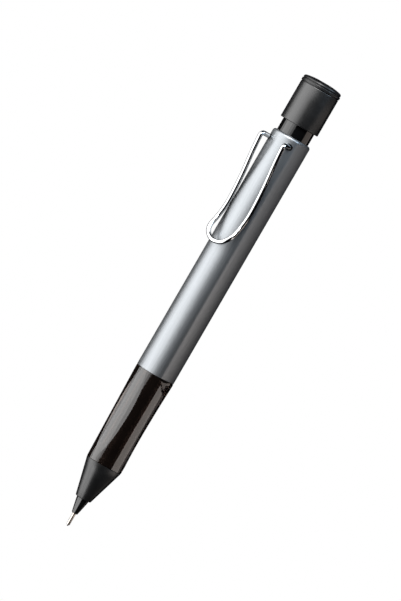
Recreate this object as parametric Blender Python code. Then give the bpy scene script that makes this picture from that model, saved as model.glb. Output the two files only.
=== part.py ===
"""Mechanical pencil, upright on its lead point, as separate working pieces.

World frame: metres, +Z from the lead point to the push button, clip towards -Y.
The origin is on the pencil's axis at the end of the lead.
"""
import math

import bmesh
import bpy
from mathutils import Vector

MM = 0.001

# ---- stations along the axis, from the lead point -------------------------------------
SLEEVE_START = 0.35 * MM      # the lead stands this far out of its sleeve
TIP_START = 3.9 * MM
NOSE_START = 8.55 * MM
NOSE_LENGTH = 10.95 * MM
GRIP_LENGTH = 28.4 * MM
BARREL_LENGTH = 74.2 * MM
NECK_LENGTH = 3.5 * MM        # bare neck between barrel and button
BUTTON_LENGTH = 13.6 * MM
BUTTON_TRAVEL = 3.0 * MM

GRIP_START = NOSE_START + NOSE_LENGTH
BARREL_START = GRIP_START + GRIP_LENGTH
BARREL_END = BARREL_START + BARREL_LENGTH
BUTTON_START = BARREL_END + NECK_LENGTH
BUTTON_END = BUTTON_START + BUTTON_LENGTH

# ---- clearances -------------------------------------------------------------------------
FIT = 0.05 * MM               # radial clearance between pieces that fit in each other
SEAT = 0.02 * MM              # end gap between pieces that rest on each other
SLIDE = 0.10 * MM             # clearance round pieces that travel

# ---- barrel -----------------------------------------------------------------------------
BARREL_RADIUS = 5.73 * MM
BARREL_BORE = 4.2 * MM
BARREL_FLAT_DISTANCE = BARREL_RADIUS - 0.63 * MM   # axis to the middle of each side's soft flat
BARREL_FLAT_RADIUS = 14.0 * MM
BARREL_CREASE = 0.08 * MM     # softness of the edge between a flat and the round stretch
BARREL_RIM = 0.8 * MM
NECK_RADIUS = 4.78 * MM

# ---- grip: a rounded triangle in section, with a scoop on each corner --------------------
GRIP_CORNER_FRONT = 5.57 * MM
GRIP_CORNER_BACK = BARREL_RADIUS + 0.03 * MM
GRIP_SIDE_FRONT = 4.94 * MM
GRIP_SIDE_BACK = BARREL_RADIUS - 0.03 * MM
SCOOP_BOTTOM = 5.36 * MM      # axis to the deepest place of a scoop's floor
SCOOP_CURVE = 7.2 * MM        # radius of the scoop's gently rounded floor, across it
SCOOP_DEEPEST = 10.5 * MM     # from the grip's front end
SCOOP_FRONT = 2.2 * MM
SCOOP_BACK = 28.0 * MM
SEAM_FLARE = 0.16             # slope at which the grip grows out of the barrel's section
GRIP_SPIGOT = 3.4 * MM
GRIP_SPIGOT_LENGTH = 6.8 * MM

# ---- nose and tip -----------------------------------------------------------------------
NOSE_FRONT_RADIUS = 2.3 * MM
NOSE_SPIGOT = 3.6 * MM
NOSE_SPIGOT_LENGTH = 4.9 * MM
TIP_FRONT_RADIUS = 0.92 * MM
TIP_MIDDLE_RADIUS = 1.6 * MM
TIP_BACK_RADIUS = 1.8 * MM
TIP_MIDDLE = 3.4 * MM         # from the tip's front end
TIP_ROUND = 0.3 * MM
TIP_SPIGOT = 1.55 * MM
TIP_SPIGOT_LENGTH = 4.25 * MM
LEAD_RADIUS = 0.25 * MM
LEAD_LENGTH = 58.0 * MM
LEAD_POINT_RADIUS = 0.14 * MM
SLEEVE_RADIUS = 0.50 * MM
SLEEVE_BORE = 0.30 * MM
SLEEVE_LENGTH = 6.1 * MM
RETAINER_RADIUS = 1.05 * MM
RETAINER_LENGTH = 2.4 * MM

# ---- chuck and clutch ring ----------------------------------------------------------------
JAW_COUNT = 3
JAW_SPAN = math.radians(108)
JAW_START = 8.05 * MM         # head's front, from the nose's front end
JAW_LENGTH = 10.8 * MM
JAW_HEAD_LENGTH = 1.7 * MM
JAW_HEAD_RADIUS = 1.75 * MM
JAW_CONE_RADIUS = 1.38 * MM
JAW_SHANK_RADIUS = 1.10 * MM
JAW_BORE = 0.60 * MM
JAW_GRIP_BORE = 0.27 * MM
JAW_GRIP_LENGTH = 2.3 * MM
JAW_OPENING = math.radians(1.5)
RING_LENGTH = 3.0 * MM
RING_RADIUS = 2.5 * MM
RING_CLEARANCE = 0.07 * MM
RING_TRAVEL = 1.0 * MM
CHUCK_GAP = 0.05 * MM
CHUCK_TAIL = 14.85 * MM       # the chuck's plain tube, behind the jaws

# ---- mechanism --------------------------------------------------------------------------
GUIDE_LENGTH = 22.2 * MM
GUIDE_SHOULDER = 3.7 * MM
GUIDE_SHOULDER_BORE = 1.45 * MM
SPRING_LENGTH = 9.9 * MM
SPRING_MEAN_RADIUS = 1.85 * MM
SPRING_WIRE = 0.20 * MM
SPRING_TURNS = 9
CONNECTOR_LENGTH = 5.0 * MM
CONNECTOR_SPIGOT_LENGTH = 4.5 * MM
CONNECTOR_BORE = 0.80 * MM
RESERVOIR_RADIUS = 2.1 * MM
GUIDE_BORE = RESERVOIR_RADIUS + 0.2 * MM
RESERVOIR_BORE = RESERVOIR_RADIUS - 0.55 * MM
GRIP_BORE = GUIDE_BORE + 0.45 * MM
SPARE_LEADS = 2

# ---- button, eraser and pin -----------------------------------------------------------------
BUTTON_RADIUS = BARREL_RADIUS + 0.02 * MM
BUTTON_RING_RADIUS = BUTTON_RADIUS + 0.11 * MM
BUTTON_RING_HEIGHT = 0.85 * MM
BUTTON_GROOVE = 0.13 * MM
BUTTON_GROOVE_FLOOR = BUTTON_RADIUS - 0.15 * MM
BUTTON_CORE = 4.5 * MM
BUTTON_DISC = 1.25 * MM
BUTTON_DOME = 0.42 * MM
BUTTON_EDGE = 0.7 * MM
BUTTON_ROOF = 2.3 * MM        # solid thickness under the ring
BUTTON_SOCKET_WALL = 0.7 * MM
DISC_PEG = 1.2 * MM
COLLAR_ROOT = 8.7 * MM        # length of the collar held in the barrel
ERASER_RADIUS = RESERVOIR_RADIUS - 0.65 * MM
ERASER_STANDOUT = 2.2 * MM
HOLDER_PLUG = 5.0 * MM
HOLDER_HEAD = 2.3 * MM
HOLDER_WALL = 0.45 * MM
HOLDER_FLOOR = 3.0 * MM
PIN_RADIUS = 0.22 * MM
PIN_LENGTH = 17.0 * MM

# ---- clip -------------------------------------------------------------------------------
CLIP_WIRE = 0.66 * MM
CLIP_HALF_WIDTH = 4.2 * MM
CLIP_BELOW_RIM = 2.8 * MM     # holes below the barrel's top
CLIP_BEND = 1.0 * MM
CLIP_LOOP_START = 27.6 * MM   # start of the round end, below the holes
CLIP_HOLE = 0.95 * MM
CLIP_HOLE_X = 3.6 * MM        # middle of a hole's mouth, from the clip's middle plane
CLIP_STUB_DEPTH = 1.0 * MM    # length of wire held in a hole
CLIP_HOLE_FLOOR = 0.15 * MM   # space past the wire's end
CLIP_DRILL_START = 1.5 * MM   # the drill starts this far outside the surface
# (distance below the holes, height of the wire above the height where it would touch)
CLIP_SHAPE = [(1.0, 3.0), (5.8, 2.34), (12.6, 1.05), (19.4, 0.35), (22.8, 0.47),
              (26.2, 1.32), (29.6, 2.68), (31.8, 3.11)]

# ---- worked out from the sizes above --------------------------------------------------------
SIDES = 48
SMALL_SIDES = 24
CLIP_HOLE_Z = BARREL_END - CLIP_BELOW_RIM
CLIP_TOUCH = math.sqrt((BARREL_RADIUS + CLIP_WIRE) ** 2 - CLIP_HALF_WIDTH ** 2)
JAW_FRONT_Z = NOSE_START + JAW_START
JAW_HINGE_Z = JAW_FRONT_Z + JAW_LENGTH
JAW_HINGE_RADIUS = (JAW_BORE + JAW_SHANK_RADIUS) / 2
RING_START_Z = JAW_FRONT_Z + JAW_HEAD_LENGTH + SLIDE
RING_BORE = JAW_CONE_RADIUS + RING_CLEARANCE
NOSE_STEP_Z = RING_START_Z - RING_TRAVEL - SLIDE
NOSE_CHAMBER_Z = JAW_FRONT_Z - BUTTON_TRAVEL - SLIDE
NOSE_SPIGOT_END_Z = GRIP_START + NOSE_SPIGOT_LENGTH
GUIDE_START_Z = NOSE_SPIGOT_END_Z + SEAT + 0.2 * MM
SPRING_START_Z = GUIDE_START_Z + GUIDE_SHOULDER + FIT
CONNECTOR_Z = SPRING_START_Z + SPRING_LENGTH + FIT
CHUCK_END_Z = JAW_HINGE_Z + CHUCK_GAP + CHUCK_TAIL
RESERVOIR_START_Z = CONNECTOR_Z + CONNECTOR_LENGTH + SEAT
BUTTON_SHELL_END_Z = (BUTTON_END - BUTTON_DISC - BUTTON_RING_HEIGHT - 2 * BUTTON_GROOVE)
BUTTON_ROOF_Z = BUTTON_SHELL_END_Z - BUTTON_ROOF
RESERVOIR_END_Z = BUTTON_ROOF_Z - ERASER_STANDOUT - HOLDER_HEAD - 0.8 * MM
COLLAR_BORE = RESERVOIR_RADIUS + FIT + BUTTON_SOCKET_WALL + SLIDE
RETAINER_Z = NOSE_START + TIP_SPIGOT_LENGTH - RETAINER_LENGTH - 2 * SEAT


# ---- helpers ----------------------------------------------------------------------------
def make_material(name, color, roughness, metallic=0.0, clear=0.0):
    material = bpy.data.materials.new(name)
    material.use_nodes = True
    shader = material.node_tree.nodes["Principled BSDF"]
    shader.inputs["Base Color"].default_value = (*color, 1.0)
    shader.inputs["Roughness"].default_value = roughness
    shader.inputs["Metallic"].default_value = metallic
    shader.inputs["Transmission Weight"].default_value = clear
    material.diffuse_color = (*color, 1.0)
    return material


def make_axis(name, position, parent=None):
    """An empty on a joint's axis. Everything that the joint moves is its child."""
    axis = bpy.data.objects.new(name, None)
    axis.empty_display_size = 3 * MM
    bpy.context.scene.collection.objects.link(axis)
    place(axis, position, parent)
    return axis


def place(obj, position, parent):
    obj["rest"] = tuple(position)
    start = Vector(parent["rest"]) if parent else Vector((0, 0, 0))
    obj.parent = parent
    obj.location = Vector(position) - start


def solid_from_rings(name, rings, material, closed, origin=(0, 0, 0), parent=None):
    """Skin a list of rings of points. `closed` joins the last ring to the first."""
    bm = bmesh.new()
    loops = [[bm.verts.new(point) for point in ring] for ring in rings]
    pairs = list(zip(loops, loops[1:]))
    if closed:
        pairs.append((loops[-1], loops[0]))
    for low, high in pairs:
        for i in range(len(low)):
            j = (i + 1) % len(low)
            bm.faces.new((low[i], low[j], high[j], high[i]))
    if not closed:
        bm.faces.new(loops[0])
        bm.faces.new(loops[-1])
    bmesh.ops.translate(bm, verts=bm.verts, vec=-Vector(origin))
    bmesh.ops.remove_doubles(bm, verts=bm.verts, dist=0.0005 * MM)
    bmesh.ops.recalc_face_normals(bm, faces=bm.faces)
    mesh = bpy.data.meshes.new(name)
    bm.to_mesh(mesh)
    bm.free()
    mesh.materials.append(material)
    mesh.shade_smooth()
    mesh.set_sharp_from_angle(angle=math.radians(32))
    obj = bpy.data.objects.new(name, mesh)
    bpy.context.scene.collection.objects.link(obj)
    place(obj, origin, parent)
    return obj


def circle(radius, z, sides, center=(0, 0)):
    angles = [2 * math.pi * i / sides for i in range(sides)]
    return [(center[0] + radius * math.cos(a), center[1] + radius * math.sin(a), z)
            for a in angles]


def turned(name, outline, material, sides=SIDES, center=(0, 0), parent=None):
    """A turned piece. `outline` is its closed half section, (radius, z) points."""
    origin = (center[0], center[1], min(z for _, z in outline))
    rings = [circle(radius, z, sides, center) for radius, z in outline]
    return solid_from_rings(name, rings, material, True, origin, parent)


def tube(name, start, end, radius, bore, material, sides=SIDES, center=(0, 0), parent=None):
    outline = [(radius, start), (radius, end), (bore, end), (bore, start)]
    return turned(name, outline, material, sides, center, parent)


def rod(name, start, end, radius, material, sides=SMALL_SIDES, center=(0, 0), parent=None):
    outline = [(0, start), (radius, start), (radius, end), (0, end)]
    return turned(name, outline, material, sides, center, parent)


def arc(center, radius, start, end, steps):
    """Points of an arc in the (radius, z) plane, angles in degrees from +radius."""
    angles = [math.radians(start + (end - start) * i / steps) for i in range(steps + 1)]
    return [(center[0] + radius * math.cos(a), center[1] + radius * math.sin(a))
            for a in angles]


def mix(a, b, share):
    return a + (b - a) * share


def spread(start, end, steps):
    return [mix(start, end, i / steps) for i in range(steps + 1)]


def section(radius_at, angles, z):
    """A ring about the axis. Angles are measured from the clip's direction, -Y."""
    return [(radius_at(a) * math.sin(a), -radius_at(a) * math.cos(a), z) for a in angles]


def swept(name, points, radius, sides, material, origin=(0, 0, 0), parent=None):
    """A round wire along `points`, with flat ends."""
    rings = []
    side = Vector((1, 0, 0))
    for i, point in enumerate(points):
        ahead = points[min(i + 1, len(points) - 1)]
        behind = points[max(i - 1, 0)]
        along = (ahead - behind).normalized()
        side = (side - along * side.dot(along)).normalized()
        up = along.cross(side)
        angles = [2 * math.pi * k / sides for k in range(sides)]
        rings.append([point + (side * math.cos(a) + up * math.sin(a)) * radius
                      for a in angles])
    return solid_from_rings(name, rings, material, False, origin, parent)


def smooth_value(stations, x):
    """A smooth curve through (x, value) stations, by cubic pieces."""
    last = len(stations) - 1

    def slope(i):
        low, high = stations[max(i - 1, 0)], stations[min(i + 1, last)]
        return (high[1] - low[1]) / (high[0] - low[0])

    for i in range(last):
        (x0, y0), (x1, y1) = stations[i], stations[i + 1]
        if x <= x1 or i == last - 1:
            break
    width = x1 - x0
    t = (x - x0) / width
    return ((2 * t ** 3 - 3 * t ** 2 + 1) * y0 + (t ** 3 - 2 * t ** 2 + t) * slope(i) * width
            + (3 * t ** 2 - 2 * t ** 3) * y1 + (t ** 3 - t ** 2) * slope(i + 1) * width)


# ---- sections of the barrel and the grip ------------------------------------------------------
def flat_half_angle():
    """Half the angle, seen from the axis, that each soft flat of the barrel takes up."""
    back = BARREL_FLAT_RADIUS - BARREL_FLAT_DISTANCE
    cosine = ((BARREL_FLAT_RADIUS ** 2 - BARREL_RADIUS ** 2 - back ** 2)
              / (2 * back * BARREL_RADIUS))
    return math.acos(max(-1.0, min(1.0, cosine)))


def arc_reach(distance, radius, angle):
    """Distance from the axis to a round face whose middle is `distance` away at angle 0."""
    back = radius - distance
    reach = radius ** 2 - (back * math.sin(angle)) ** 2
    return math.sqrt(max(reach, 0.0)) - back * math.cos(angle)


def barrel_radius(angle):
    """Distance from the axis to the barrel's surface: round, with two soft flats."""
    off = abs(angle) % math.pi - math.pi / 2
    flat = arc_reach(BARREL_FLAT_DISTANCE, BARREL_FLAT_RADIUS, off)
    step = (BARREL_RADIUS - flat) / BARREL_CREASE
    return BARREL_RADIUS - BARREL_CREASE * math.log1p(math.exp(min(step, 500.0)))


def barrel_angles():
    """Ring angles with a point on each crease between round stretch and flat."""
    quarter, half = math.pi / 2, flat_half_angle()
    edges = [half - quarter, quarter - half, quarter + half, 3 * quarter - half,
             3 * quarter + half]
    angles = []
    for start, end, steps in zip(edges, edges[1:], (14, 10, 14, 10)):
        angles += spread(start, end, steps)[:-1]
    return angles


def triangle_radius(angle, corner, side):
    """A rounded triangle, with one corner towards the clip."""
    return (corner + side) / 2 + (corner - side) / 2 * math.cos(3 * angle)


def scoop_distance(z):
    """Distance from the axis to the middle of a scoop's floor, at height z."""
    from_deepest = z - (GRIP_START + SCOOP_DEEPEST)
    if from_deepest < 0:
        reach, corner = SCOOP_DEEPEST - SCOOP_FRONT, GRIP_CORNER_FRONT
    else:
        reach, corner = SCOOP_BACK - SCOOP_DEEPEST, GRIP_CORNER_BACK
    return SCOOP_BOTTOM + (corner - SCOOP_BOTTOM) * (from_deepest / reach) ** 2


def scoop_reach(z, from_corner):
    return arc_reach(scoop_distance(z), SCOOP_CURVE, from_corner)


def grip_size(z):
    share = (z - GRIP_START) / GRIP_LENGTH
    return (mix(GRIP_CORNER_FRONT, GRIP_CORNER_BACK, share),
            mix(GRIP_SIDE_FRONT, GRIP_SIDE_BACK, share))


def scoop_edge(z):
    """Angle from a corner at which the scoop's floor meets the rounded triangle."""
    corner, side = grip_size(z)
    low, high = 0.0, math.radians(55)
    for _ in range(40):
        middle = (low + high) / 2
        if scoop_reach(z, middle) < triangle_radius(middle, corner, side):
            low = middle
        else:
            high = middle
    return max(low, math.radians(2.5))


def grip_angles(z):
    edge = scoop_edge(z)
    half = [0, edge / 2] + spread(edge, math.pi / 3, 6)[:-1]
    rest = [2 * math.pi / 3 - a for a in reversed(half[1:])]
    sector = half + [math.pi / 3] + rest
    return [a + 2 * math.pi / 3 * k for k in range(3) for a in sector]


def grip_radius(angle, z):
    corner, side = grip_size(z)
    from_corner = (angle + math.pi / 3) % (2 * math.pi / 3) - math.pi / 3
    seam = barrel_radius(angle) + (BARREL_START - z) * SEAM_FLARE
    floor = scoop_reach(z, from_corner)
    return min(triangle_radius(angle, corner, side), seam, floor)


# ---- pieces: barrel group -----------------------------------------------------------------
def make_barrel(material):
    angles = barrel_angles()
    start, end = BARREL_START + SEAT, BARREL_END
    rings = [section(barrel_radius, angles, start)]
    for turn in spread(0, math.pi / 2, 5):
        def rounded(angle, turn=turn):
            radius = barrel_radius(angle)
            rim = min(BARREL_RIM, radius - NECK_RADIUS - FIT)
            return radius - rim * (1 - math.cos(turn))
        rings.append(section(rounded, angles, end - BARREL_RIM * (1 - math.sin(turn))))
    for z in (end, start):
        rings.append(section(lambda angle: BARREL_BORE, angles, z))
    barrel = solid_from_rings("barrel_tube", rings, material, True, (0, 0, start))
    for sign in (-1, 1):
        cutter = clip_hole_cutter(sign)
        cut = barrel.modifiers.new("clip_hole", "BOOLEAN")
        cut.operation = "DIFFERENCE"
        cut.object = cutter
    return barrel


def clip_hole_cutter(sign):
    mouth, inward = clip_entry()
    upward = Vector((0, 0, 1))
    side = inward.cross(upward)
    rings = []
    for depth in (CLIP_STUB_DEPTH + CLIP_HOLE_FLOOR, -CLIP_DRILL_START):
        middle = mouth + inward * depth
        ring = []
        for k in range(SMALL_SIDES):
            turn = 2 * math.pi * k / SMALL_SIDES
            point = middle + (side * math.cos(turn) + upward * math.sin(turn)) * CLIP_HOLE
            ring.append((sign * point.x, point.y, point.z))
        rings.append(ring)
    material = bpy.data.materials.get("cutter") or bpy.data.materials.new("cutter")
    cutter = solid_from_rings("clip_hole_cutter", rings, material, False)
    cutter.hide_render = True
    cutter.display_type = "WIRE"
    return cutter


def make_barrel_insert(material):
    tube("barrel_insert", BARREL_START + SEAT, BARREL_START + GRIP_SPIGOT_LENGTH + FIT,
         BARREL_BORE - FIT, GRIP_SPIGOT + FIT, material)


def make_grip(material):
    middle = GRIP_START + SCOOP_DEEPEST
    front = GRIP_START + SCOOP_FRONT
    heights = [GRIP_START + SEAT, (GRIP_START + front) / 2]
    heights += [mix(front, middle, (i / 9) ** 2) for i in range(9)]
    heights += spread(middle, BARREL_START, 11)
    rings = []
    for z in heights:
        rings.append(section(lambda angle: grip_radius(angle, z), grip_angles(z), z))
    inside = [(GRIP_SPIGOT, BARREL_START), (GRIP_SPIGOT, BARREL_START + GRIP_SPIGOT_LENGTH),
              (GRIP_BORE, BARREL_START + GRIP_SPIGOT_LENGTH),
              (GRIP_BORE, NOSE_SPIGOT_END_Z + FIT),
              (NOSE_SPIGOT + FIT, NOSE_SPIGOT_END_Z + FIT),
              (NOSE_SPIGOT + FIT, GRIP_START + SEAT)]
    even_angles = spread(0, 2 * math.pi, len(rings[0]))[:-1]
    for radius, z in inside:
        rings.append(section(lambda angle: radius, even_angles, z))
    solid_from_rings("grip_section", rings, material, True, (0, 0, GRIP_START + SEAT))


def make_nose(material):
    """A cone that grows from a circle at the tip to the grip's rounded triangle."""
    angles = [2 * math.pi * k / SIDES for k in range(SIDES)]
    corner, side = GRIP_CORNER_FRONT, GRIP_SIDE_FRONT
    rings = []
    for share in (0.0, 0.02, 0.35, 0.7, 1.0):
        ease = NOSE_FRONT_RADIUS - (0.15 * MM if share == 0 else 0)

        def radius(angle, share=share, ease=ease):
            return mix(ease, triangle_radius(angle, corner, side), share)
        rings.append(section(radius, angles, mix(NOSE_START, GRIP_START, share)))
    inside = [(NOSE_SPIGOT, GRIP_START), (NOSE_SPIGOT, NOSE_SPIGOT_END_Z),
              (RING_RADIUS + SLIDE, NOSE_SPIGOT_END_Z), (RING_RADIUS + SLIDE, NOSE_STEP_Z),
              (nose_chamber_radius(), NOSE_STEP_Z), (nose_chamber_radius(), NOSE_CHAMBER_Z),
              (TIP_SPIGOT + FIT, NOSE_CHAMBER_Z), (TIP_SPIGOT + FIT, NOSE_START)]
    rings += [section(lambda angle, r=radius: r, angles, z) for radius, z in inside]
    solid_from_rings("nose_cone", rings, material, True, (0, 0, NOSE_START))


def nose_chamber_radius():
    """Room for the jaws' heads when they are fully open."""
    swing = JAW_LENGTH * math.sin(JAW_OPENING)
    return JAW_HEAD_RADIUS + swing + SLIDE


def make_tip(material):
    start, end = TIP_START, NOSE_START - SEAT
    spigot_end = NOSE_START + TIP_SPIGOT_LENGTH
    sleeve_end = SLEEVE_START + SLEEVE_LENGTH
    front = arc((TIP_FRONT_RADIUS - TIP_ROUND, start + TIP_ROUND), TIP_ROUND, -90, 0, 4)
    outline = front + [(TIP_MIDDLE_RADIUS, start + TIP_MIDDLE), (TIP_BACK_RADIUS, end),
                       (TIP_SPIGOT, end), (TIP_SPIGOT, spigot_end),
                       (RETAINER_RADIUS + FIT, spigot_end), (RETAINER_RADIUS + FIT, RETAINER_Z - SEAT),
                       (SLEEVE_BORE + FIT, RETAINER_Z - SEAT),
                       (SLEEVE_BORE + FIT, sleeve_end + SEAT),
                       (SLEEVE_RADIUS + SEAT, sleeve_end + SEAT), (SLEEVE_RADIUS + SEAT, start)]
    turned("tip_cone", outline, material)


def make_lead_sleeve(material):
    tube("lead_sleeve", SLEEVE_START, SLEEVE_START + SLEEVE_LENGTH, SLEEVE_RADIUS, SLEEVE_BORE,
         material)


def make_lead_retainer(material):
    tube("lead_retainer", RETAINER_Z, RETAINER_Z + RETAINER_LENGTH, RETAINER_RADIUS,
         LEAD_RADIUS + SEAT, material, SMALL_SIDES)


def make_guide(material):
    """The fixed sleeve in the grip. Its front shoulder is the spring's seat."""
    shoulder = GUIDE_START_Z + GUIDE_SHOULDER
    end = GUIDE_START_Z + GUIDE_LENGTH
    outer = GRIP_BORE - FIT
    outline = [(outer, GUIDE_START_Z), (outer, end), (GUIDE_BORE, end),
               (GUIDE_BORE, shoulder), (GUIDE_SHOULDER_BORE, shoulder),
               (GUIDE_SHOULDER_BORE, GUIDE_START_Z)]
    turned("mechanism_sleeve", outline, material)


def make_rear_collar(material):
    start, end = BARREL_END - COLLAR_ROOT, BUTTON_ROOF_Z - BUTTON_TRAVEL - SLIDE
    rim = BARREL_END + SEAT
    root = BARREL_BORE - FIT
    outline = [(root, start), (root, rim), (NECK_RADIUS, rim), (NECK_RADIUS, end),
               (COLLAR_BORE, end), (COLLAR_BORE, start)]
    turned("rear_collar", outline, material)


# ---- pieces: mechanism group ----------------------------------------------------------------
def make_chuck_body(material, parent):
    tube("chuck_body", JAW_HINGE_Z + CHUCK_GAP, CHUCK_END_Z, JAW_SHANK_RADIUS, JAW_BORE,
         material, SMALL_SIDES, parent=parent)


def make_jaw(index, material, parent):
    """One third of the split chuck, hinged where it joins the chuck's tube."""
    turn = math.pi / 2 + 2 * math.pi * index / JAW_COUNT
    outward = Vector((math.cos(turn), math.sin(turn), 0))
    hinge = outward * JAW_HINGE_RADIUS + Vector((0, 0, JAW_HINGE_Z))
    axis = make_axis(f"jaw_{index + 1}_axis", hinge, parent)
    head_end = JAW_FRONT_Z + JAW_HEAD_LENGTH
    grip_end = JAW_FRONT_Z + JAW_GRIP_LENGTH
    back = JAW_HINGE_Z - CHUCK_GAP
    outline = [(JAW_GRIP_BORE, JAW_FRONT_Z), (JAW_HEAD_RADIUS - 0.4 * MM, JAW_FRONT_Z),
               (JAW_HEAD_RADIUS, JAW_FRONT_Z + 0.4 * MM), (JAW_HEAD_RADIUS, head_end),
               (JAW_CONE_RADIUS, head_end), (JAW_CONE_RADIUS, RING_START_Z),
               (JAW_SHANK_RADIUS, RING_START_Z + RING_LENGTH), (JAW_SHANK_RADIUS, back),
               (JAW_BORE, back), (JAW_BORE, grip_end + 0.4 * MM), (JAW_GRIP_BORE, grip_end)]
    rings = []
    for angle in spread(turn - JAW_SPAN / 2, turn + JAW_SPAN / 2, 8):
        rings.append([(r * math.cos(angle), r * math.sin(angle), z) for r, z in outline])
    solid_from_rings(f"chuck_jaw_{index + 1}", rings, material, False, hinge, axis)


def make_clutch_ring(material):
    end = RING_START_Z + RING_LENGTH
    axis = make_axis("clutch_ring_axis", (0, 0, RING_START_Z))
    edge = 0.3 * MM
    outline = [(RING_RADIUS - edge, RING_START_Z), (RING_RADIUS, RING_START_Z + edge),
               (RING_RADIUS, end - edge), (RING_RADIUS - edge, end), (RING_BORE, end),
               (RING_BORE, RING_START_Z)]
    turned("clutch_ring", outline, material, parent=axis)


def make_spring(material):
    length = SPRING_LENGTH - 2 * SPRING_WIRE
    steps = SPRING_TURNS * 16
    points = []
    for i in range(steps + 1):
        angle = 2 * math.pi * SPRING_TURNS * i / steps
        points.append(Vector((SPRING_MEAN_RADIUS * math.cos(angle),
                              SPRING_MEAN_RADIUS * math.sin(angle),
                              SPRING_START_Z + SPRING_WIRE + length * i / steps)))
    swept("return_spring", points, SPRING_WIRE, 6, material, (0, 0, SPRING_START_Z))


def make_connector(material, parent):
    """Joins the chuck to the reservoir. Its front face presses on the spring."""
    start, face = CONNECTOR_Z, CONNECTOR_Z + CONNECTOR_LENGTH
    end = face + CONNECTOR_SPIGOT_LENGTH
    spigot = RESERVOIR_BORE - FIT
    outline = [(GUIDE_BORE - SLIDE, start), (GUIDE_BORE - SLIDE, face), (spigot, face),
               (spigot, end), (spigot - 0.2 * MM, end), (CONNECTOR_BORE, end - 1.2 * MM),
               (CONNECTOR_BORE, CHUCK_END_Z + SEAT), (JAW_SHANK_RADIUS + FIT, CHUCK_END_Z + SEAT),
               (JAW_SHANK_RADIUS + FIT, start)]
    turned("chuck_connector", outline, material, parent=parent)


def make_reservoir(material, parent):
    tube("lead_reservoir", RESERVOIR_START_Z, RESERVOIR_END_Z, RESERVOIR_RADIUS, RESERVOIR_BORE,
         material, SIDES, parent=parent)


def make_spare_leads(material, parent):
    start = RESERVOIR_START_Z + CONNECTOR_SPIGOT_LENGTH + 1 * MM
    off = RESERVOIR_BORE - LEAD_RADIUS - FIT
    for index in range(SPARE_LEADS):
        turn = 2 * math.pi * index / SPARE_LEADS
        center = (off * math.cos(turn), off * math.sin(turn))
        rod(f"spare_lead_{index + 1}", start, start + LEAD_LENGTH, LEAD_RADIUS, material, 12,
            center, parent)


def make_lead(material):
    axis = make_axis("lead_axis", (0, 0, 0))
    chamfer = LEAD_RADIUS - LEAD_POINT_RADIUS
    outline = [(0, 0), (LEAD_POINT_RADIUS, 0), (LEAD_RADIUS, chamfer),
               (LEAD_RADIUS, LEAD_LENGTH), (0, LEAD_LENGTH)]
    turned("lead", outline, material, SMALL_SIDES, parent=axis)


# ---- pieces: button and eraser groups -----------------------------------------------------------
def make_button_shell(material, parent):
    """A cap over the neck. The tube inside it grips the end of the reservoir."""
    start, end, roof = BUTTON_START, BUTTON_SHELL_END_Z, BUTTON_ROOF_Z
    skirt = NECK_RADIUS + SLIDE
    socket = RESERVOIR_RADIUS + FIT
    socket_start = start + 0.8 * MM
    core_end = BUTTON_END - BUTTON_DISC
    peg_floor = core_end - DISC_PEG - SEAT
    edge = 0.2 * MM
    outline = [(skirt, start), (BUTTON_RADIUS - edge, start), (BUTTON_RADIUS, start + edge),
               (BUTTON_RADIUS, end), (BUTTON_CORE, end), (BUTTON_CORE, core_end),
               (DISC_PEG, core_end), (DISC_PEG, peg_floor), (0, peg_floor)]
    inside = [(0, roof), (socket, roof), (socket, socket_start),
              (socket + BUTTON_SOCKET_WALL, socket_start), (socket + BUTTON_SOCKET_WALL, roof),
              (skirt, roof)]
    turned("button_shell", outline + inside, material, parent=parent)


def make_button_ring(material, parent):
    """A thin proud ring between two fine grooves, near the button's end."""
    start, end = BUTTON_SHELL_END_Z + SEAT, BUTTON_END - BUTTON_DISC - SEAT
    low, high = BUTTON_SHELL_END_Z + BUTTON_GROOVE, BUTTON_END - BUTTON_DISC - BUTTON_GROOVE
    edge = 0.15 * MM
    outline = [(BUTTON_CORE + FIT, start), (BUTTON_GROOVE_FLOOR, start),
               (BUTTON_GROOVE_FLOOR, low), (BUTTON_RING_RADIUS - edge, low),
               (BUTTON_RING_RADIUS, low + edge), (BUTTON_RING_RADIUS, high - edge),
               (BUTTON_RING_RADIUS - edge, high), (BUTTON_GROOVE_FLOOR, high),
               (BUTTON_GROOVE_FLOOR, end), (BUTTON_CORE + FIT, end)]
    turned("button_ring", outline, material, parent=parent)


def make_button_disc(material, parent):
    """The button's end: a slightly domed disc with a small flat in its middle."""
    start, end = BUTTON_END - BUTTON_DISC, BUTTON_END
    shoulder = end - BUTTON_DOME
    peg = DISC_PEG - FIT
    outline = [(0, start - DISC_PEG), (peg, start - DISC_PEG), (peg, start)]
    outline += [(BUTTON_RADIUS, start)]
    outline += arc((BUTTON_RADIUS - BUTTON_EDGE, shoulder - BUTTON_EDGE), BUTTON_EDGE, 0, 80, 4)
    outline += [(BUTTON_RADIUS * 0.6, end - BUTTON_DOME * 0.3), (BUTTON_RADIUS * 0.25, end),
                (0, end)]
    turned("button_end_disc", outline, material, parent=parent)


def make_eraser_holder(material, parent):
    """A plug in the reservoir's end. Its cup holds the eraser, its floor the pin."""
    low, rim = RESERVOIR_END_Z - HOLDER_PLUG, RESERVOIR_END_Z + SEAT
    top = rim + HOLDER_HEAD
    plug, cup = RESERVOIR_BORE - FIT, ERASER_RADIUS + FIT
    floor = max(low + HOLDER_FLOOR, rim + 0.2 * MM)
    pin_hole = low + HOLDER_FLOOR / 2
    outline = [(PIN_RADIUS + SEAT, low), (plug, low), (plug, rim), (cup + HOLDER_WALL, rim),
               (cup + HOLDER_WALL, top), (cup, top), (cup, floor), (0, floor), (0, pin_hole),
               (PIN_RADIUS + SEAT, pin_hole)]
    turned("eraser_holder", outline, material, parent=parent)
    return floor, pin_hole


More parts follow.
